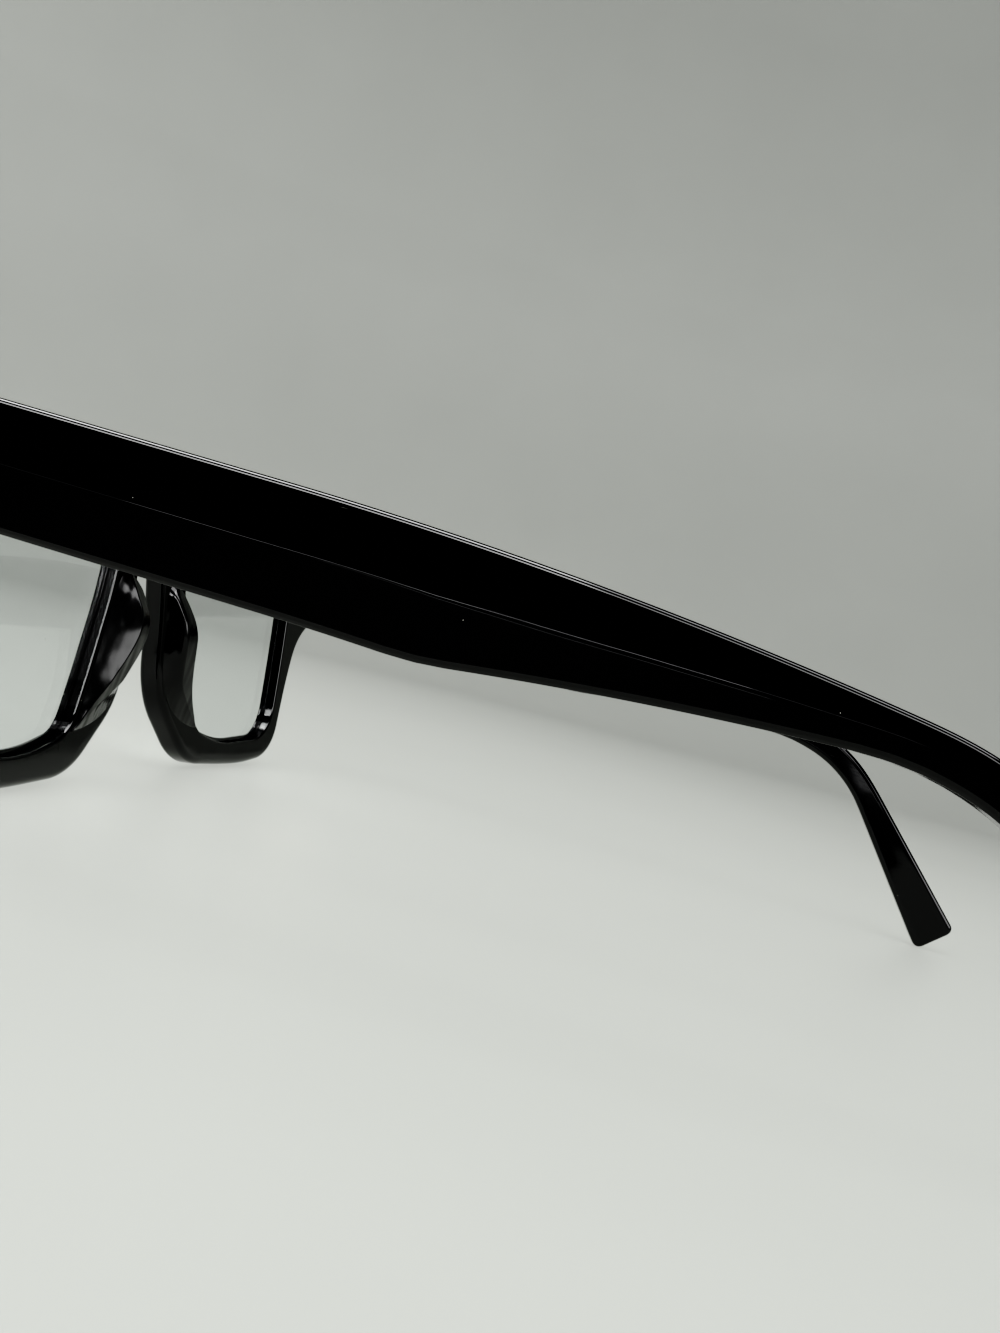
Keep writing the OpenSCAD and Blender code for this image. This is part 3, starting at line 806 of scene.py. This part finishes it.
temple_acetate = tumbled_black_acetate("tumbled_black_temple_acetate", "Y")
for name, side in (("left", 1), ("right", -1)):
    points, faces = temple_mesh(side)
    temple = piece(
        name + "_acetate_temple", points, faces, name + "_arm", "black_acetate", temple_acetate, sharp_deg=50)
    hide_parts(name + "_temple")

# Core wires
# Nickel silver wires, drawn and shot hot into the temples so that these can be bent to the ear. The
# black acetate hides them.
def drawn_wire():
    """Nickel silver drawn through a die. It gives a dull metal with fine lines along it."""
    made, tree, out = new_material("drawn_nickel_silver_wire")
    spot = put(tree, "TexCoord").outputs["Object"]
    line_mm = 0.1
    lines = put(tree, "Mapping", {"Vector": spot, "Scale": (1.0, 0.04, 1.0)})
    drawn = put(tree, "TexNoise", {
        "Vector": lines.outputs["Vector"], "Scale": metre / line_mm, "Detail": 2.0})
    rough = put(tree, "MapRange", {"Value": drawn.outputs["Fac"], "To Min": 0.25, "To Max": 0.42})
    shader = put(tree, "BsdfPrincipled", {
        "Base Color": linear("#C9C5BA"), "Metallic": 1.0, "Roughness": rough.outputs["Result"]})
    tree.links.new(shader.outputs["BSDF"], out.inputs["Surface"])
    return made


wire = drawn_wire()
for side in ("left", "right"):
    finish_node(side + "_core_wire", wire, 0)

# Floor and light
# A plain pale table top that curves up into a backdrop all round. Over its side behind the camera lies a
# near-black sheet of painted shade, which stands in for the unlit side of the room. Soft boxes over and
# beside the glasses, a window, a wash on the backdrop, a wide ceiling light and three low strips light it.
floor_r, curve_r, wall_h = 0.75, 0.45, 1.02
shade_sheet_from, shade_sheet_lift = 0.2, 0.001
shade_sheet_start, shade_sheet_end = math.radians(-44), math.radians(26)
around_steps, shade_sheet_steps = 96, 24


def sweep_profile(lift):
    """Radii and heights from the table's middle out to the top of the backdrop."""
    profile = [(r, lift) for r in (0.02, 0.1, shade_sheet_from, 0.3, 0.4, floor_r)]
    profile += [(floor_r + (curve_r - lift) * math.sin(a), curve_r - (curve_r - lift) * math.cos(a))
                for a in np.linspace(0.1, math.pi / 2, 14)]
    profile.append((floor_r + curve_r - lift, wall_h))
    return profile


def swept(profile, angles):
    """The profile turned about the table's middle, at each angle."""
    return [(r * math.cos(t), r * math.sin(t), z) for r, z in profile for t in angles]


def stage_piece(name, points, faces, material):
    """Makes a mesh that the glasses stand on or before, and that isn't part of them."""
    mesh = bpy.data.meshes.new(name)
    mesh.from_pydata(points, [], faces)
    mesh.shade_smooth()
    mesh.materials.append(material)
    made = bpy.data.objects.new(name, mesh)
    bpy.context.scene.collection.objects.link(made)


def satin_laminate():
    """Pale grey laminate, pressed with a satin face. It gives an even tone with a soft sheen."""
    made, tree, out = new_material("satin_pale_laminate")
    spot = put(tree, "TexCoord").outputs["Object"]
    cloud_mm = 120.0
    clouds = put(tree, "TexNoise", {"Vector": spot, "Scale": metre / cloud_mm, "Detail": 2.0})
    colour = put(tree, "Mix", {
        0: clouds.outputs["Fac"], 6: linear("#969894"), 7: linear("#9A9C98")}, data_type="RGBA")
    shader = put(tree, "BsdfPrincipled", {"Base Color": colour.outputs[2], "Roughness": 0.42, "IOR": 1.42})
    tree.links.new(shader.outputs["BSDF"], out.inputs["Surface"])
    return made


def painted_shade_velvet():
    """Painted shade: a near-black sheet with a short velvet pile that stands in for the unlit side of the
    room. It gives nearly no light back, so the gloss of the temple is dark.
    """
    made, tree, out = new_material("painted_shade_black_velvet")
    spot = put(tree, "TexCoord").outputs["Object"]
    pile_mm = 1.5
    pile = put(tree, "TexNoise", {"Vector": spot, "Scale": metre / pile_mm, "Detail": 2.0})
    colour = put(tree, "Mix", {
        0: pile.outputs["Fac"], 6: linear("#242625"), 7: linear("#363837")}, data_type="RGBA")
    shader = put(tree, "BsdfPrincipled", {"Base Color": colour.outputs[2], "Roughness": 0.9, "IOR": 1.4})
    tree.links.new(shader.outputs["BSDF"], out.inputs["Surface"])
    return made


around = np.linspace(0, 2 * math.pi, around_steps, False)
table_profile = sweep_profile(0.0)
points = [(0, 0, 0)] + swept(table_profile, around)
faces = [(0, 1 + j, 1 + (j + 1) % len(around)) for j in range(len(around))]
faces += [f[::-1] for f in ring_faces(1, len(around), len(table_profile))]
stage_piece("pale_table", points, faces, satin_laminate())

# Painted shade: a near-black sheet behind the camera stands in for the unlit side of the room.
across = np.linspace(shade_sheet_start, shade_sheet_end, shade_sheet_steps)
shade_sheet_profile = [at for at in sweep_profile(shade_sheet_lift) if at[0] >= shade_sheet_from]
faces = [f[::-1] for f in ring_faces(0, len(across), len(shade_sheet_profile), closed=False)]
stage_piece("painted_shade_sheet", swept(shade_sheet_profile, across), faces, painted_shade_velvet())


def soft_box(name, at, towards, width, depth, watts, shadow=True, mirrored_in_gloss=True):
    """A rectangular light that the camera doesn't see. Width and depth are in metres."""
    light = bpy.data.lights.new(name, "AREA")
    light.shape = "RECTANGLE"
    light.size, light.size_y, light.energy, light.use_shadow = width, depth, watts, shadow
    made = bpy.data.objects.new(name, light)
    made.location = at
    made.rotation_mode = "QUATERNION"
    made.rotation_quaternion = (Vector(towards) - Vector(at)).to_track_quat("-Z", "Y")
    made.visible_camera = False
    made.visible_glossy = mirrored_in_gloss
    bpy.context.scene.collection.objects.link(made)


# The boxes overhead and at the side each draw one of the two lines of light along the temple's top edge.
soft_box("overhead_box", (0.11, -0.325, 0.86), (0.11, -0.325, 0.0), 0.36, 0.71, 8.8, shadow=False)
soft_box("overhead_box_core", (0.11, -0.325, 0.86), (0.11, -0.325, 0.0), 0.36, 0.71, 1.2)
soft_box("overhead_box_end", (0.11, 0.325, 0.86), (0.11, 0.325, 0.0), 0.36, 0.59, 3.0, shadow=False)
soft_box("side_box", (0.79, -0.33, 0.58), (0.07, -0.33, 0.04), 0.74, 0.34, 6.5, shadow=False)
soft_box("side_box_end", (0.79, 0.32, 0.58), (0.07, 0.32, 0.04), 0.56, 0.34, 2.4, shadow=False)
# The window draws the streak on the left nose pad, and the strips draw the lines along the crest.
soft_box("window", (0.46, 0.76, 0.35), (0.012, -0.067, 0.02), 0.8, 0.3, 2.5, shadow=False)
soft_box("low_strip", (0.82, -0.12, 0.1), (0.06, -0.12, 0.04), 0.52, 0.03, 0.1)
soft_box("low_strip_ends", (0.83, -0.12, 0.1), (0.06, -0.12, 0.04), 0.8, 0.03, 0.08)
soft_box("floor_strip", (0.74, -0.03, 0.014), (0.06, -0.03, 0.04), 0.34, 0.02, 0.035)
# The wash and the ceiling light brighten the table and its backdrop, and aren't mirrored in gloss.
soft_box("backdrop_wash", (-0.15, -0.2, 1.15), (-1.1, -0.5, 0.7), 1.8, 0.3, 8.0, False, False)
soft_box("ceiling", (0.0, 0.0, 1.6), (0.0, 0.0, 0.0), 2.4, 2.4, 8.0, mirrored_in_gloss=False)

world = bpy.data.worlds.new("dim_room")
bpy.context.scene.world = world
world.use_nodes = True
world.node_tree.nodes["Background"].inputs["Color"].default_value = linear("#3A3C3C")
world.node_tree.nodes["Background"].inputs["Strength"].default_value = 0.4
